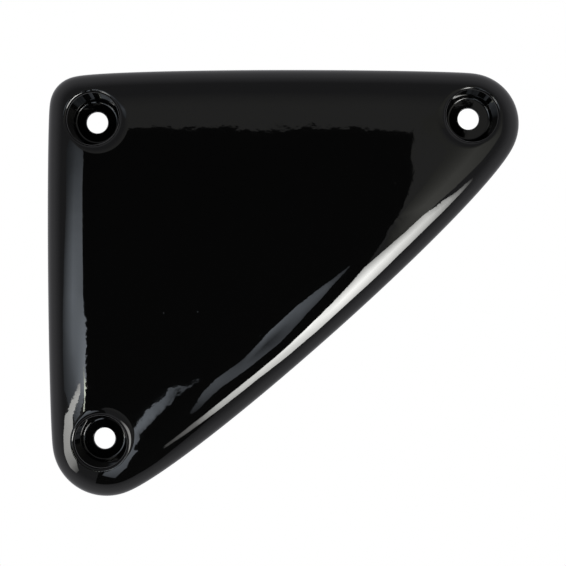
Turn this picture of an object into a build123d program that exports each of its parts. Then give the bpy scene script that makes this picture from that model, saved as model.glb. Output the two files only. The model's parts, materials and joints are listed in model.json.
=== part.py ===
import os
from math import radians, tan

from build123d import *

# A triangular side cover pressed from one sheet of steel: a crowned face, an edge that rolls
# over into a short skirt, and three round pockets whose floors carry the screw holes.
# Frame: it lies on its rim, face up along +Z. The rim is at Z = 0, and the origin is the
# middle of the rim's bounding box. Lengths are in millimetres and angles in degrees.

sheet = 1.2  # thickness of the pressed steel
height = 16.0  # rim to the top of the crown
skirt_draft = 1.5  # lean of the skirt, which is widest at the rim
edge_roll = 8.5  # outside radius from the face down into the skirt

# Corners of the rim: centre X, centre Y, radius, and the directions faced at the two ends
square_corner = (-60.75, 52.75, 9.3, 100.6, 175.0)
lower_corner = (-53.05, -47.4, 16.4, 184.7, 293.1)
right_corner = (55.2, 47.8, 15.3, -26.7, 84.8)

# Each side is one Bezier curve, which follows its two corners' tangents for these lengths
left_reach = (10.9, 12.8)
slanted_reach = (22.0, 20.9)
top_reach = (10.0, 13.2)

# Face: part of a large sphere
crown_radius = 1500.0
crown_middle = (-16.8, 18.95)  # where the face is highest

# Pockets: at the square, right and lower corner
hole_places = ((-55.9, 48.15), (55.2, 49.25), (-53.7, -46.35))
hole_radius = 3.2  # clears a 6 mm screw closely
seat_height = 5.0  # rim to the top of the pocket's floor
pocket_radius = 6.6  # at the floor, before its corner is rounded
pocket_corner = 0.8
pocket_draft = 7.0
pocket_top = 20.0  # the pocket's tool is drawn up to here, past the face
lip_radius = 2.6


def draw_outline(inset):
    """Draw the rim's closed outline, moved in by inset, in the open BuildLine."""
    arcs = []
    for x, y, radius, start, end in (square_corner, lower_corner, right_corner):
        arcs.append(CenterArc((x, y), radius - inset, start, end - start))
    reaches = (left_reach, slanted_reach, top_reach)
    for first, second, reach in zip(arcs, arcs[1:] + arcs[:1], reaches):
        leaving = first @ 1 + (first % 1) * reach[0]
        arriving = second @ 0 - (second % 0) * reach[1]
        Bezier(first @ 1, leaving, arriving, second @ 0)


def pressed_body(depth):
    """The outside of the cover before its pockets, moved in by depth, solid to the rim."""
    with BuildPart() as body:
        for level in (0, height):
            with BuildSketch(Plane.XY.offset(level)):
                with BuildLine():
                    draw_outline(depth + level * tan(radians(skirt_draft)))
                make_face()
        loft(ruled=True)
        with Locations((*crown_middle, height - crown_radius)):
            Sphere(crown_radius - depth, rotation=(90, 0, 0), mode=Mode.INTERSECT)
        top = body.faces().filter_by(lambda face: face.normal_at().Z > 0.5)
        walls = body.faces().filter_by(lambda face: abs(face.normal_at().Z) < 0.5)
        fillet([edge for edge in top.edges() if edge in walls.edges()], edge_roll - depth)
    return body.part


def pocket_body(growth):
    """The space inside a pocket about the Z axis, made larger all round by growth."""
    floor = seat_height - growth
    foot = pocket_radius + growth
    mouth = foot + (pocket_top - floor) * tan(radians(pocket_draft))
    with BuildPart() as body:
        with BuildSketch(Plane.XZ) as section:
            with BuildLine():
                Polyline((0, floor), (foot, floor), (mouth, pocket_top), (0, pocket_top), close=True)
            make_face()
            corner = section.vertices().sort_by(Axis.Z)[:2].sort_by(Axis.X)[-1]
            fillet(corner, pocket_corner + growth)
        revolve(axis=Axis.Z)
    return body.part


# Hollow under the face: the inside of the sheet, less the undersides of the pockets
with BuildPart() as hollow:
    add(pressed_body(sheet))
    with Locations(*hole_places):
        add(pocket_body(sheet), mode=Mode.SUBTRACT)

# Cover shell
with BuildPart() as cover_shell:
    add(pressed_body(0))
    with Locations(*hole_places):
        add(pocket_body(0), mode=Mode.SUBTRACT)
    pocket_edges = cover_shell.faces(Select.LAST).filter_by(GeomType.CONE).edges()
    mouths = pocket_edges.filter_by(GeomType.LINE, reverse=True)
    fillet(mouths.filter_by(lambda edge: edge.center().Z > height / 2), lip_radius)
    add(hollow.part, mode=Mode.SUBTRACT)
    with Locations(*[(x, y, seat_height) for x, y in hole_places]):
        Hole(hole_radius)
cover_shell.part.label = "cover_shell"

os.makedirs("parts", exist_ok=True)
export_step(cover_shell.part, "parts/cover_shell.step")
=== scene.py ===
import json
import math

import bpy
import numpy as np
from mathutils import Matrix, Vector
from mathutils.geometry import delaunay_2d_cdt


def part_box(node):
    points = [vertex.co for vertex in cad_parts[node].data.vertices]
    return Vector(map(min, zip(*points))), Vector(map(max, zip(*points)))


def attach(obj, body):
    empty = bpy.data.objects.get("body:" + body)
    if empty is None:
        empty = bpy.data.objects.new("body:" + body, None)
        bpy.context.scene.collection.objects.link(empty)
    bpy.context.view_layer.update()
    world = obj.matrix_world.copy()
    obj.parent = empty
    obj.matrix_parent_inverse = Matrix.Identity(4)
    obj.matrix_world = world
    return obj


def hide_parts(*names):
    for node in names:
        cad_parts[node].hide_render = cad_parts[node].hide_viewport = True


# A gloss-black triangular side cover, seen face on. The shell is one mesh: rings that climb
# from the rim over the rolled edge, rings that line each screw pocket, and a triangulated
# face between them. Lengths are in millimetres until the mesh is made.

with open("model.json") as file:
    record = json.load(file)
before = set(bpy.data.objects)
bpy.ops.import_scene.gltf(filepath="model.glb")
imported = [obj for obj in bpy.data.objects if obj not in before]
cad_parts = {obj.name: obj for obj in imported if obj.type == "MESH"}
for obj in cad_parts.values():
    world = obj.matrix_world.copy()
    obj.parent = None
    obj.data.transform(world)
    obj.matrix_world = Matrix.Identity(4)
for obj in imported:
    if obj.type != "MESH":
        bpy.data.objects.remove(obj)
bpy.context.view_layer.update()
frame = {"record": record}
MM = 0.001

# ---------------------------------------------------------------- sizes of the pressing

low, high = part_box("cover_shell")
HEIGHT = high.z / MM
SHEET = 1.2
SKIRT_DRAFT = math.tan(math.radians(1.5))

# Corners of the rim: centre, radius, and the directions faced at the two ends
SQUARE_CORNER = ((-60.75, 52.75), 9.3, 100.6, 175.0)
LOWER_CORNER = ((-53.05, -47.4), 16.4, 184.7, 293.1)
RIGHT_CORNER = ((55.2, 47.8), 15.3, -26.7, 84.8)
LEFT_REACH = (10.9, 12.8)
SLANTED_REACH = (22.0, 20.9)
TOP_REACH = (10.0, 13.2)
OUTLINE_STEP = 0.7
OUTLINE_SOFTNESS = 1.6  # how far a change of curvature is spread along the rim

# Face: part of a large sphere
CROWN_RADIUS = 1500.0
CROWN_MIDDLE = np.array((-16.8, 18.95))

# Edge roll: a quarter of an ellipse from the face down into the skirt, wider on the slanted side
ROLL_WIDTH = 12.0
ROLL_WIDENING = 3.0
ROLL_DEPTH = 8.5
SLANTED_SIDE_FACES = np.array((0.66, -0.75))
RING_REACH = 2.0  # the rings along the edge end this far in, clear of the pockets

# Pockets
HOLE_EDGE = 0.25  # radius of a hole's eased edges
FLOOR_RADIUS = 5.8
FLOOR_CORNER = 0.8
WALL_LEAN = math.radians(7.0)
WALL_HEAD = 7.7  # radius at the wall's top
LIP_WIDTH = 1.3
LIP_WIDENING = 2.2  # more where the pocket's wall is nearest the middle of the face
LIP_DEPTH = 1.8
BORDER_RADIUS = 11.3  # where a pocket's rings give way to the face's triangles
POCKET_SIDES = 120
POCKET_REACH = 14.9  # the face's even points start this far from a pocket's middle
FACE_STEP = 1.5  # spacing of those points
FLOOR_RING = 4.6  # a ring part of the way over the pocket's floor
EVEN_POINTS_START = 12.9  # how far in from the shoulder line the even points start
EDGE_RINGS = (2.4, 3.0, 3.7, 4.5, 5.4, 6.4, 7.6, 9.0, 10.4, 11.8)
POCKET_RINGS = (11.9, 12.8, 14.0)
RING_SLACK = 0.2  # a ring's points may be this much nearer the edge or pocket than the ring is
VALID_FACES = 4  # output type: the given constraints, with edges added for valid faces
NEARNESS = 1e-6

CAMERA_PLACE = (-0.3, 0.15, 365.0)
CAMERA_LENS = 76.5
LIGHT_STEPS = 6  # rows of faces between two lines of a light card
BLUE = (0.82, 0.9, 1.0)
WHITE = (1.0, 1.0, 0.97)

# The dark ceiling, in metres. Its inner corners bound the dark part of the face's reflection.
CEILING_HEIGHT = 0.7
CEILING_CORNERS = (
    (-0.23, 0.158),
    (-0.23, -0.5),
    (-0.9, -2.4),
    (0.9, -2.4),
    (0.45, -0.36),
    (0.225, -0.02),
    (0.158, 0.09),
    (0.164, 0.158),
)

mounts = {mount["name"]: mount for mount in frame["record"]["mounts"]}
holes = [mounts[name] for name in ("hole_square_corner", "hole_right_corner", "hole_lower_corner")]
HOLE_PLACES = [np.array(hole["pos_m"][:2]) / MM for hole in holes]
HOLE_RADIUS = holes[0]["dims"]["r_mm"]
SEAT_HEIGHT = holes[0]["pos_m"][2] / MM + SHEET / 2


# ---------------------------------------------------------------- outline of the rim


def facing(degrees):
    """Unit vectors for directions in degrees."""
    angle = np.radians(degrees)
    return np.stack([np.cos(angle), np.sin(angle)], axis=-1)


def corner_points(corner):
    centre, radius, start, end = corner
    return np.array(centre) + radius * facing(np.linspace(start, end, 60))


def side_points(first, second, reach):
    """Bezier from the end of one corner to the start of the next, tangent to both."""
    start = np.array(first[0]) + first[1] * facing(first[3])
    end = np.array(second[0]) + second[1] * facing(second[2])
    leaving = start + reach[0] * facing(first[3] + 90)
    arriving = end - reach[1] * facing(second[2] + 90)
    t = np.linspace(0, 1, 200)[1:-1, None]
    return (1 - t) ** 3 * start + 3 * t * (1 - t) ** 2 * leaving + 3 * t**2 * (1 - t) * arriving + t**3 * end


def even_loop(points, step):
    """The same closed loop with points an even distance apart."""
    closed = np.vstack([points, points[:1]])
    run = np.concatenate([[0], np.cumsum(np.linalg.norm(np.diff(closed, axis=0), axis=1))])
    count = int(round(run[-1] / step))
    places = np.arange(count) * run[-1] / count
    return np.stack([np.interp(places, run, closed[:, k]) for k in range(2)], axis=-1)


def softened_loop(points, spread):
    """Averages each point with its neighbours, to spread changes of curvature."""
    reach = int(3 * spread)  # the weights beyond this are near zero
    total = np.zeros_like(points)
    weight = 0.0
    for shift in range(-reach, reach + 1):
        share = math.exp(-0.5 * (shift / spread) ** 2)
        total += share * np.roll(points, shift, axis=0)
        weight += share
    return total / weight


def loop_normals(points):
    """Unit normals that face out of a counter-clockwise loop."""
    along = np.roll(points, -1, axis=0) - np.roll(points, 1, axis=0)
    normals = np.stack([along[:, 1], -along[:, 0]], axis=-1)
    return normals / np.linalg.norm(normals, axis=1)[:, None]


corners = (SQUARE_CORNER, LOWER_CORNER, RIGHT_CORNER)
reaches = (LEFT_REACH, SLANTED_REACH, TOP_REACH)
stretches = []
for corner, following, reach in zip(corners, corners[1:] + corners[:1], reaches):
    stretches.append(corner_points(corner))
    stretches.append(side_points(corner, following, reach))
rim = softened_loop(even_loop(np.vstack(stretches), OUTLINE_STEP), OUTLINE_SOFTNESS / OUTLINE_STEP)
rim_normals = loop_normals(rim)
shoulder = rim - rim_normals * SKIRT_DRAFT * (HEIGHT - ROLL_DEPTH)


# ---------------------------------------------------------------- height of the face


def crown_height(points):
    """Height of the face before its edge is rolled over."""
    return HEIGHT - ((points - CROWN_MIDDLE) ** 2).sum(1) / (2 * CROWN_RADIUS)


def crown_slope(points):
    return (CROWN_MIDDLE - points) / CROWN_RADIUS


def roll_width(outward):
    """How far in the roll reaches, where the rim faces outward."""
    return ROLL_WIDTH + ROLL_WIDENING * np.clip(outward @ SLANTED_SIDE_FACES, 0, 1) ** 2


def edge_distance(points):
    """Distance in from the shoulder line, and the line's outward normal at its nearest point."""
    ends = np.roll(shoulder, -1, axis=0)
    runs = ends - shoulder
    lengths = (runs**2).sum(1)
    best = np.full(len(points), np.inf)
    normals = np.zeros_like(points)
    for k in range(len(shoulder)):
        offset = points - shoulder[k]
        share = np.clip(offset @ runs[k] / lengths[k], 0, 1)
        gap = np.linalg.norm(offset - share[:, None] * runs[k], axis=1)
        nearer = gap < best
        best[nearer] = gap[nearer]
        mixed = rim_normals[k] * (1 - share[:, None]) + rim_normals[(k + 1) % len(rim)] * share[:, None]
        normals[nearer] = mixed[nearer]
    return best, normals / np.linalg.norm(normals, axis=1)[:, None]


def face_surface(points):
    """Heights and unit normals of the face at points clear of the pockets."""
    distance, outward = edge_distance(points)
    width = roll_width(outward)
    inset = np.clip(1 - distance / width, 0, 0.9999)
    round_part = np.sqrt(1 - inset**2)
    height = crown_height(points) - ROLL_DEPTH * (1 - round_part)
    steepness = ROLL_DEPTH / width * inset / round_part
    slope = crown_slope(points) - steepness[:, None] * outward
    return height, unit(np.column_stack([-slope, np.ones(len(points))]))


def unit(vectors):
    return vectors / np.linalg.norm(vectors, axis=1)[:, None]


# ---------------------------------------------------------------- mesh of the outer face


class Sheet:
    """Vertices with their normals, and the faces between them, of the sheet's outer side."""

    def __init__(self):
        self.places = []
        self.normals = []
        self.faces = []

    def add_ring(self, places, normals):
        first = len(self.places)
        self.places.extend(places)
        self.normals.extend(normals)
        return list(range(first, first + len(places)))

    def join_rings(self, outer, inner):
        """Quads between two rings, both counter-clockwise, the first outside the second."""
        count = len(outer)
        for k in range(count):
            after = (k + 1) % count
            self.faces.append((outer[k], outer[after], inner[after], inner[k]))


def ring_normals(outward, slope, turn):
    """Normals that turn from outward, at 0, to the face's own normal, at a quarter turn."""
    turn = np.broadcast_to(turn, len(slope))[:, None]
    up = np.column_stack([-slope, np.ones(len(slope))])
    flat = np.column_stack([outward, np.zeros(len(outward))])
    return unit(np.cos(turn) * flat + np.sin(turn) * up)


def add_edge(sheet):
    """Rings from the rim up the skirt and over the first part of the roll."""
    rings = []
    top = crown_height(shoulder) - ROLL_DEPTH
    skirt_normals = unit(np.column_stack([rim_normals, np.full(len(rim), SKIRT_DRAFT)]))
    for share in (0.06, 0.2, 0.4, 0.6, 0.8):
        places = rim + (shoulder - rim) * share
        rings.append(sheet.add_ring(np.column_stack([places, top * share]), skirt_normals))
    width = roll_width(rim_normals)
    end = np.arccos(1 - RING_REACH / width)
    for share in np.linspace(0, 1, 9):
        turn = end * share
        places = shoulder - rim_normals * (width * (1 - np.cos(turn)))[:, None]
        heights = crown_height(places) - ROLL_DEPTH * (1 - np.sin(turn))
        tilt = np.arctan2(np.sin(turn) / ROLL_DEPTH, np.cos(turn) / width)
        normals = ring_normals(rim_normals, crown_slope(places), tilt)
        rings.append(sheet.add_ring(np.column_stack([places, heights]), normals))
    for lower, upper in zip(rings, rings[1:]):
        sheet.join_rings(lower, upper)
    return rings[0], rings[-1]


def add_pocket(sheet, centre):
    """Rings from the hole up the pocket's wall, over its lip and out to the face."""
    round_dir = facing(np.arange(POCKET_SIDES) * 360 / POCKET_SIDES)
    inward = -round_dir
    level = np.zeros_like(round_dir)
    quarter = math.pi / 2
    rings = []

    def add(radius, heights, slope, turn):
        places = centre + round_dir * np.broadcast_to(radius, POCKET_SIDES)[:, None]
        normals = ring_normals(inward, slope, turn)
        rings.append(sheet.add_ring(np.column_stack([places, heights]), normals))

    def on_face(radius):
        heights, normals = face_surface(centre + round_dir * np.broadcast_to(radius, POCKET_SIDES)[:, None])
        return heights, -normals[:, :2] / normals[:, 2:]

    flat = np.full(POCKET_SIDES, SEAT_HEIGHT)
    for radius in (HOLE_RADIUS + HOLE_EDGE, FLOOR_RING, FLOOR_RADIUS):
        add(radius, flat, level, quarter)
    for turn in np.linspace(quarter, WALL_LEAN, 8)[1:]:
        radius = FLOOR_RADIUS + FLOOR_CORNER * math.cos(turn)
        add(radius, flat + FLOOR_CORNER * (1 - math.sin(turn)), level, turn)
    wall_foot = FLOOR_RADIUS + FLOOR_CORNER * math.cos(WALL_LEAN)
    foot_height = SEAT_HEIGHT + FLOOR_CORNER * (1 - math.sin(WALL_LEAN))
    to_middle = (CROWN_MIDDLE - centre) / np.linalg.norm(CROWN_MIDDLE - centre)
    lip_width = LIP_WIDTH + LIP_WIDENING * np.clip(round_dir @ to_middle, 0, 1)
    lip_start = np.arctan(math.tan(WALL_LEAN) * LIP_DEPTH / lip_width)
    mouth = WALL_HEAD + lip_width * np.cos(lip_start)
    head_heights = on_face(WALL_HEAD)[0] - LIP_DEPTH * (1 - np.sin(lip_start))
    for share in (0.2, 0.4, 0.6, 0.8):
        radius = wall_foot + (WALL_HEAD - wall_foot) * share
        add(radius, foot_height + (head_heights - foot_height) * share, level, WALL_LEAN)
    for share in np.linspace(0, 1, 12):
        turn = lip_start + (quarter - lip_start) * share
        radius = mouth - lip_width * np.cos(turn)
        heights, slope = on_face(radius)
        tilt = np.arctan2(np.sin(turn) / LIP_DEPTH, np.cos(turn) / lip_width)
        add(radius, heights - LIP_DEPTH * (1 - np.sin(turn)), slope, tilt)
    heights, slope = on_face((mouth + BORDER_RADIUS) / 2)
    add((mouth + BORDER_RADIUS) / 2, heights, slope, quarter)
    heights, slope = on_face(BORDER_RADIUS)
    add(BORDER_RADIUS, heights, slope, quarter)
    for inner, outer in zip(rings, rings[1:]):
        sheet.join_rings(outer, inner)
    return rings[0], rings[-1]


def face_points():
    """Points of the face between the edge's rings and the pockets' rings."""
    groups = []
    for inset in EDGE_RINGS:
        ring = (shoulder - rim_normals * inset)[::2]
        groups.append((ring, inset - RING_SLACK, POCKET_REACH))
    for centre in HOLE_PLACES:
        for radius in POCKET_RINGS:
            ring = centre + radius * facing(np.arange(POCKET_SIDES) * 360 / POCKET_SIDES)
            groups.append((ring, RING_REACH + 2 * RING_SLACK, radius - RING_SLACK))
    lattice = []
    for row, y in enumerate(np.arange(low.y / MM, high.y / MM, FACE_STEP * math.sqrt(0.75))):
        for x in np.arange(low.x / MM, high.x / MM, FACE_STEP):
            lattice.append((x + row % 2 * FACE_STEP / 2, y))
    groups.append((np.array(lattice), EVEN_POINTS_START, POCKET_REACH))
    kept = []
    for points, clear_of_edge, clear_of_holes in groups:
        inside = points_inside(points) & (edge_distance(points)[0] > clear_of_edge)
        for centre in HOLE_PLACES:
            inside &= np.linalg.norm(points - centre, axis=1) > clear_of_holes
        kept.append(points[inside])
    return np.vstack(kept)


def points_inside(points):
    """Which points lie inside the shoulder line: a ray from each crosses it an odd number of times."""
    inside = np.zeros(len(points), bool)
    for start, end in zip(shoulder, np.roll(shoulder, -1, axis=0)):
        spans = (start[1] > points[:, 1]) != (end[1] > points[:, 1])
        if spans.any():
            share = (points[spans, 1] - start[1]) / (end[1] - start[1])
            crossed = start[0] + share * (end[0] - start[0]) > points[spans, 0]
            inside[np.flatnonzero(spans)[crossed]] ^= True
    return inside


def add_face(sheet, edge_ring, pocket_rings):
    """Triangles over the face, which share the vertices of the rings around it."""
    loops = [edge_ring] + pocket_rings
    border = [k for loop in loops for k in loop]
    free = face_points()
    heights, normals = face_surface(free)
    free_ring = sheet.add_ring(np.column_stack([free, heights]), normals)
    members = border + free_ring
    flat = [Vector((float(sheet.places[k][0]), float(sheet.places[k][1]))) for k in members]
    edges = []
    first = 0
    for loop in loops:
        count = len(loop)
        edges.extend((first + k, first + (k + 1) % count) for k in range(count))
        first += count
    result = delaunay_2d_cdt(flat, edges, [], VALID_FACES, NEARNESS)
    triangles, sources = result[2], result[3]
    pocket_members = [set(ring) for ring in pocket_rings]
    for triangle in triangles:
        corners = [members[sources[k][0]] for k in triangle]
        if not any(set(corners) <= ring for ring in pocket_members):
            a, b, c = (sheet.places[k] for k in corners)
            counter_clockwise = (b[0] - a[0]) * (c[1] - a[1]) > (c[0] - a[0]) * (b[1] - a[1])
            sheet.faces.append(tuple(corners if counter_clockwise else corners[::-1]))


# ---------------------------------------------------------------- shell


def lining_chain(sheet, outer_ring, rings, count):
    """Pairs of rings from the outer side's edge, through the rings given, to the inner side's."""
    chain = [outer_ring] + [sheet.add_ring(*ring) for ring in rings] + [[k + count for k in outer_ring]]
    return zip(chain, chain[1:])


def rim_lining(sheet, ring):
    """Rings round the cut edge of the sheet, along the rim."""
    places = np.array([sheet.places[k] for k in ring])
    rings = []
    for turn in np.radians((30, 60, 90, 120, 150)):
        flat = places[:, :2] - rim_normals * SHEET / 2 * (1 - math.cos(turn))
        normals = np.column_stack([rim_normals * math.cos(turn), np.full(len(flat), -math.sin(turn))])
        rings.append((np.column_stack([flat, places[:, 2] * (1 - math.sin(turn))]), normals))
    return rings


def hole_lining(centre):
    """Rings down the wall of a screw hole, with both of its edges eased."""
    round_dir = facing(np.arange(POCKET_SIDES) * 360 / POCKET_SIDES)
    rings = []
    for turn in np.radians((60, 30, 0, 0, -30, -60)):
        middle = SEAT_HEIGHT - HOLE_EDGE if len(rings) < 3 else SEAT_HEIGHT - SHEET + HOLE_EDGE
        places = centre + round_dir * (HOLE_RADIUS + HOLE_EDGE * (1 - math.cos(turn)))
        heights = np.full(POCKET_SIDES, middle + HOLE_EDGE * math.sin(turn))
        normals = np.column_stack([-round_dir * math.cos(turn), np.full(POCKET_SIDES, math.sin(turn))])
        rings.append((np.column_stack([places, heights]), normals))
    return rings


def make_shell():
    """The painted pressing: its outer side, the same sheet's inner side, and the cut edges."""
    sheet = Sheet()
    rim_ring, edge_ring = add_edge(sheet)
    pockets = [add_pocket(sheet, centre) for centre in HOLE_PLACES]
    add_face(sheet, edge_ring, [border for _, border in pockets])
    count = len(sheet.places)
    outer_faces = len(sheet.faces)
    inner_places = np.array(sheet.places) - SHEET * np.array(sheet.normals)
    sheet.places.extend(inner_places)
    sheet.normals.extend(-np.array(sheet.normals))
    sheet.faces.extend(tuple(k + count for k in face[::-1]) for face in sheet.faces[:outer_faces])
    inner_faces = len(sheet.faces)
    for first, second in lining_chain(sheet, rim_ring, rim_lining(sheet, rim_ring), count):
        sheet.join_rings(second, first)
    for (hole_ring, _), centre in zip(pockets, HOLE_PLACES):
        for first, second in lining_chain(sheet, hole_ring, hole_lining(centre), count):
            sheet.join_rings(first, second)
    mesh = bpy.data.meshes.new("painted_shell")
    mesh.from_pydata([Vector(place) * MM for place in np.array(sheet.places).tolist()], [], sheet.faces)
    mesh.polygons.foreach_set("use_smooth", [True] * len(sheet.faces))
    inner_side = [outer_faces <= k < inner_faces for k in range(len(sheet.faces))]
    mesh.polygons.foreach_set("material_index", [int(inner) for inner in inner_side])
    mesh.normals_split_custom_set_from_vertices(np.array(sheet.normals).tolist())
    shell = bpy.data.objects.new("painted_shell", mesh)
    bpy.context.scene.collection.objects.link(shell)
    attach(shell, "root")
    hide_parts("cover_shell")
    return shell


# ---------------------------------------------------------------- materials


class Nodes:
    """Short names for building a node tree."""

    def __init__(self, name):
        self.material = bpy.data.materials.new(name)
        self.material.use_nodes = True
        self.tree = self.material.node_tree
        self.shader = self.tree.nodes["Principled BSDF"]
        self.coords = self.add("ShaderNodeTexCoord").outputs["Object"]

    def add(self, kind, **settings):
        node = self.tree.nodes.new(kind)
        for name, value in settings.items():
            if name in node.inputs:
                node.inputs[name].default_value = value
            else:
                setattr(node, name, value)
        return node

    def link(self, source, target):
        self.tree.links.new(source, target)

    def noise(self, wavelength, detail=2.0):
        """Noise whose bumps are about this far apart, in millimetres."""
        node = self.add("ShaderNodeTexNoise", Scale=1 / (wavelength * MM), Detail=detail)
        self.link(self.coords, node.inputs["Vector"])
        return node.outputs["Fac"]

    def bump(self, height, depth, below=None):
        """Bump of this depth in millimetres, on top of another bump if one is given."""
        node = self.add("ShaderNodeBump", Strength=1.0, Distance=depth * MM)
        self.link(height, node.inputs["Height"])
        if below:
            self.link(below, node.inputs["Normal"])
        return node.outputs["Normal"]

    def spread(self, value, low_in, high_in, low_out, high_out):
        """The value, moved from its own range to another one."""
        node = self.add("ShaderNodeMapRange")
        sockets = ("From Min", "From Max", "To Min", "To Max")
        for name, number in zip(sockets, (low_in, high_in, low_out, high_out)):
            node.inputs[name].default_value = number
        self.link(value, node.inputs["Value"])
        return node.outputs["Result"]


def gloss_paint():
    """Deep gloss black: a clear coat with slight orange peel, and a few specks of dust in it."""
    nodes = Nodes("gloss_black_paint")
    shader = nodes.shader
    shader.inputs["Base Color"].default_value = (0.0018, 0.0018, 0.0018, 1)
    shader.inputs["Coat Weight"].default_value = 1.0
    shader.inputs["Coat Roughness"].default_value = 0.025
    shader.inputs["Specular IOR Level"].default_value = 0.0
    cells = nodes.add("ShaderNodeTexVoronoi", Scale=1 / (8 * MM))
    nodes.link(nodes.coords, cells.inputs["Vector"])
    specks = nodes.bump(nodes.spread(cells.outputs["Distance"], 0.0, 0.03, 1, 0), 0.03)
    peel = nodes.bump(nodes.noise(2.2), 0.006, specks)
    wave = nodes.bump(nodes.noise(11.0, 1.0), 0.045, peel)
    nodes.link(wave, shader.inputs["Coat Normal"])
    nodes.link(wave, shader.inputs["Normal"])
    nodes.link(nodes.spread(nodes.noise(25.0), 0.3, 0.7, 0.12, 0.2), shader.inputs["Roughness"])
    return nodes.material


def dull_overspray():
    """Thin paint on the back: dull, a little grainy, and uneven."""
    nodes = Nodes("dull_black_overspray")
    shader = nodes.shader
    shader.inputs["Base Color"].default_value = (0.012, 0.012, 0.013, 1)
    shader.inputs["Specular IOR Level"].default_value = 0.4
    grain = nodes.bump(nodes.noise(0.5, 4.0), 0.02)
    nodes.link(nodes.bump(nodes.noise(9.0), 0.06, grain), shader.inputs["Normal"])
    nodes.link(nodes.spread(nodes.noise(14.0, 3.0), 0.3, 0.7, 0.38, 0.6), shader.inputs["Roughness"])
    return nodes.material


# ---------------------------------------------------------------- stage, camera and light


def glowing(name, colour, radiance):
    """A material that glows with this radiance."""
    material = bpy.data.materials.new(name)
    material.use_nodes = True
    tree = material.node_tree
    tree.nodes.clear()
    glow = tree.nodes.new("ShaderNodeEmission")
    glow.inputs["Color"].default_value = (*colour, 1)
    glow.inputs["Strength"].default_value = radiance
    output = tree.nodes.new("ShaderNodeOutputMaterial")
    tree.links.new(glow.outputs["Emission"], output.inputs["Surface"])
    return material


def add_plane(name, width, length, place, target, material):
    """A flat card, centred on place, that faces target. All in metres."""
    mesh = bpy.data.meshes.new(name)
    x, y = width / 2, length / 2
    mesh.from_pydata([(-x, -y, 0), (x, -y, 0), (x, y, 0), (-x, y, 0)], [], [(0, 1, 2, 3)])
    mesh.materials.append(material)
    plane = bpy.data.objects.new(name, mesh)
    bpy.context.scene.collection.objects.link(plane)
    plane.location = place
    facing_way = Vector(target) - Vector(place)
    plane.rotation_euler = facing_way.to_track_quat("Z", "Y").to_euler()
    return plane


def dome_point(compass, tilt, distance):
    """The place at this distance from the cover, compass direction and tilt from straight up."""
    compass, tilt = math.radians(compass), math.radians(tilt)
    side = Vector((math.cos(compass), math.sin(compass), 0))
    return side * distance * math.sin(tilt) + Vector((0, 0, distance * math.cos(tilt)))


def add_light(name, colour, distance, lines):
    """A curved card that only the cover sees. Each line across it has its own points, given as
    compass direction, tilt and radiance, and the radiance blends from point to point."""
    grid = np.array(lines)
    places = []
    glow = []
    for first, second in zip(grid, grid[1:]):
        for share in np.arange(0, 1, 1 / LIGHT_STEPS):
            mixed = (1 - share) * first + share * second
            places.extend(dome_point(compass, tilt, distance) for compass, tilt, _ in mixed)
            glow.extend(mixed[:, 2])
    places.extend(dome_point(compass, tilt, distance) for compass, tilt, _ in grid[-1])
    glow.extend(grid[-1][:, 2])
    across = grid.shape[1]
    faces = []
    for k in range(len(places) - across):
        if k % across < across - 1:
            faces.append((k, k + 1, k + across + 1, k + across))
    mesh = bpy.data.meshes.new(name)
    mesh.from_pydata(places, [], faces)
    attribute = mesh.attributes.new("glow", "FLOAT", "POINT")
    attribute.data.foreach_set("value", glow)
    material = glowing(name, colour, 1.0)
    tree = material.node_tree
    reader = tree.nodes.new("ShaderNodeAttribute")
    reader.attribute_name = "glow"
    tree.links.new(reader.outputs["Fac"], tree.nodes["Emission"].inputs["Strength"])
    mesh.materials.append(material)
    light = bpy.data.objects.new(name, mesh)
    bpy.context.scene.collection.objects.link(light)
    light.visible_camera = False


def add_camera():
    """Straight above the cover, looking down."""
    data = bpy.data.cameras.new("camera")
    data.sensor_width = 36.0
    data.lens = CAMERA_LENS
    camera = bpy.data.objects.new("camera", data)
    bpy.context.scene.collection.objects.link(camera)
    camera.location = Vector(CAMERA_PLACE) * MM
    bpy.context.scene.camera = camera


def add_floor():
    """Plain white. The cover reflects the world's lower half in the floor's place."""
    floor = add_plane("floor", 4.0, 4.0, (0, 0, 0), (0, 0, 1), glowing("floor_white", (1, 1, 1), 1.0))
    floor.visible_glossy = False


def add_dark_ceiling():
    """A dark card overhead, which the middle of the face reflects."""
    mesh = bpy.data.meshes.new("dark_ceiling")
    corners = [(x, y, CEILING_HEIGHT) for x, y in CEILING_CORNERS]
    mesh.from_pydata(corners, [], [tuple(range(len(corners)))])
    mesh.materials.append(glowing("dark_ceiling", (0, 0, 0), 0))
    ceiling = bpy.data.objects.new("dark_ceiling", mesh)
    bpy.context.scene.collection.objects.link(ceiling)
    ceiling.visible_camera = False


def add_world():
    """Soft grey surroundings: brightest from the horizon down, darkest half way up."""
    world = bpy.data.worlds.new("studio")
    world.use_nodes = True
    tree = world.node_tree
    height = tree.nodes.new("ShaderNodeSeparateXYZ")
    tree.links.new(tree.nodes.new("ShaderNodeTexCoord").outputs["Generated"], height.inputs["Vector"])
    ramp = tree.nodes.new("ShaderNodeValToRGB")
    ramp.color_ramp.elements[0].color = (0.45, 0.45, 0.47, 1)
    ramp.color_ramp.elements[1].color = (0.33, 0.33, 0.32, 1)
    ramp.color_ramp.elements.new(0.2).color = (0.34, 0.34, 0.36, 1)
    ramp.color_ramp.elements.new(0.4).color = (0.19, 0.19, 0.2, 1)
    ramp.color_ramp.elements.new(0.75).color = (0.19, 0.19, 0.2, 1)
    tree.links.new(height.outputs["Z"], ramp.inputs["Fac"])
    tree.links.new(ramp.outputs["Color"], tree.nodes["Background"].inputs["Color"])
    bpy.context.scene.world = world


shell = make_shell()
shell.data.materials.append(gloss_paint())
shell.data.materials.append(dull_overspray())

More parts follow.
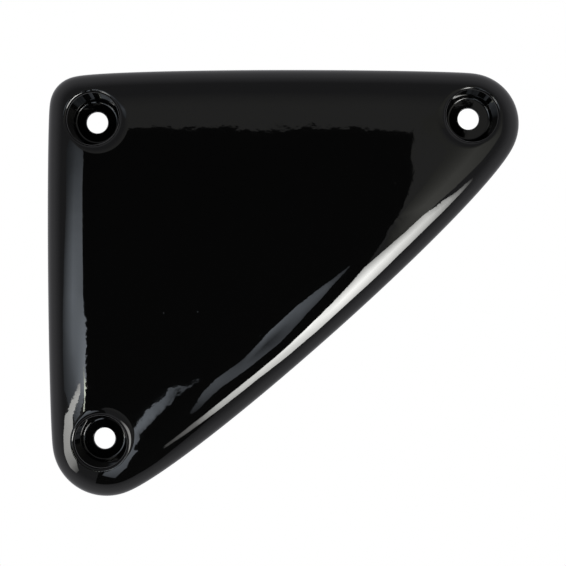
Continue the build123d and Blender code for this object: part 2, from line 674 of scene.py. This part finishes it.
add_camera()
add_floor()
add_world()

# The light cards. Their directions started as the output of a program that traced highlights
# back through the cover's surface, and were then changed by hand.

# The strip of light along the slanted side
add_light(
    "slanted_strip",
    WHITE,
    0.7,
    [
        [(-74, 56, 0.6), (-74.5, 54, 0.6), (-75, 52, 0.6)],
        [(-68, 59, 2), (-68.7, 55, 3), (-69.4, 50, 3)],
        [(-63, 61, 8), (-64, 55, 10), (-65, 49, 11)],
        [(-57.8, 62, 11), (-59, 55, 14), (-60, 49, 14)],
        [(-53, 67, 11), (-53.7, 57, 15), (-54.4, 49.5, 20)],
        [(-49, 68, 12), (-49, 54, 19), (-49.2, 46.5, 25)],
        [(-44.9, 67, 13), (-44.3, 52, 24), (-43.4, 42, 13)],
        [(-40.7, 68, 10), (-39, 50, 23), (-36.4, 36, 8)],
        [(-36.3, 66, 10), (-34, 50, 19), (-30.6, 40, 7)],
        [(-31.8, 67, 8), (-29, 54, 14), (-25.8, 44, 10)],
        [(-27.8, 69, 5), (-26.5, 62, 6), (-25, 57, 4)],
        [(-24, 70, 0.5), (-23.5, 68, 0.5), (-23, 66, 0.5)],
    ],
)

# A dimmer, broken wedge inside the strip
add_light(
    "slanted_wedge",
    BLUE,
    0.68,
    [
        [(-74, 37, 0.3), (-75, 36, 0.3), (-76, 35, 0.3)],
        [(-71.8, 31, 1.0), (-77, 25, 1.4), (-86, 18.5, 1.6)],
        [(-62.8, 34, 1.3), (-67, 27, 1.2), (-72, 20, 0.9)],
        [(-56, 35, 1.0), (-61, 24, 0.4), (-66, 12.5, 2.6)],
        [(-49.5, 29, 0.8), (-50.5, 20, 1.7), (-51.4, 11, 2.1)],
        [(-41, 24, 1.2), (-39.5, 19, 1.6), (-38, 14.5, 1.5)],
        [(-32, 20, 0.4), (-31.5, 19.5, 0.4), (-31, 19, 0.4)],
    ],
)

# A card on the left, whose light grows stronger towards the lower corner
add_light(
    "left_window",
    BLUE,
    0.7,
    [
        [(167.3, 54, 0.25), (157, 37, 0.35), (147.6, 22, 0.35)],
        [(170.6, 54, 0.3), (163, 36, 0.7), (154.8, 20.5, 1.2)],
        [(173.8, 54, 0.4), (168.5, 36, 1.3), (163.3, 20.2, 1.7)],
        [(178, 58, 0.4), (176, 38, 2.2), (174.6, 18.8, 2.3)],
        [(182, 62, 0.5), (184, 40, 2.9), (186.2, 18.6, 2.2)],
        [(184.8, 64, 0.5), (190, 41, 2.5), (195.8, 18.3, 3.2)],
        [(187.5, 65, 0.5), (195, 40, 1.7), (203.9, 19.4, 4.0)],
        [(189.5, 65, 0.5), (199, 40, 1.3), (209.4, 20.4, 4.6)],
        [(191.4, 65, 0.4), (202, 40, 1.2), (213, 21.5, 3.0)],
    ],
)

# The bright curtain that wraps round the lower corner, with a thin bar and a dim reflector
add_light(
    "corner_curtain",
    WHITE,
    0.66,
    [
        [(199.5, 32, 5), (201, 29, 5)],
        [(196, 48, 8), (203, 30, 9)],
        [(194.2, 65, 6.5), (199.5, 41, 9)],
        [(195.4, 72, 5.5), (198, 47, 8)],
        [(202.7, 76, 5), (200.6, 49, 7)],
        [(217.9, 79, 3.5), (214.5, 53, 4.5)],
        [(226, 76, 1.0), (226, 66, 1.0)],
    ],
)
add_light(
    "corner_bar",
    (0.95, 1.0, 0.85),
    0.64,
    [
        [(204, 22.5, 4), (204.5, 21.5, 4)],
        [(209, 22.5, 12), (209.5, 21, 12)],
        [(212, 23.5, 16), (213, 21.5, 16)],
        [(210, 27, 12), (213, 25, 12)],
    ],
)
add_light(
    "corner_reflector",
    BLUE,
    0.67,
    [
        [(238.5, 12.4, 1.0), (240, 12.1, 0.6)],
        [(230, 14.5, 2.2), (234, 14.3, 0.5)],
        [(229.5, 16.5, 2.6), (237, 17.0, 0.7)],
        [(229, 18.5, 3.0), (246, 21.0, 1.3)],
        [(233, 21.5, 3.4), (258, 26, 2.2)],
        [(247, 29, 3.2), (270, 36, 2.2)],
        [(256, 40, 2.4), (274, 50, 1.6)],
        [(252, 54, 1.2), (268, 60, 0.8)],
    ],
)

# Soft grey light past the strip's upper end
add_light(
    "right_haze",
    (1.0, 1.0, 0.92),
    0.72,
    [
        [(-33, 40, 0.25), (-31, 35, 0.25), (-28, 30, 0.25)],
        [(-25, 46, 1.0), (-20, 34, 1.0), (-12, 20, 0.4)],
        [(-18, 57, 0.6), (-10, 38, 0.8), (5, 19, 0.36)],
        [(0, 62, 0.4), (6, 40, 0.45), (25, 19, 0.34)],
        [(30, 62, 0.25), (32, 40, 0.22), (45, 19, 0.3)],
    ],
)

add_dark_ceiling()

bpy.context.scene.view_settings.view_transform = "Standard"
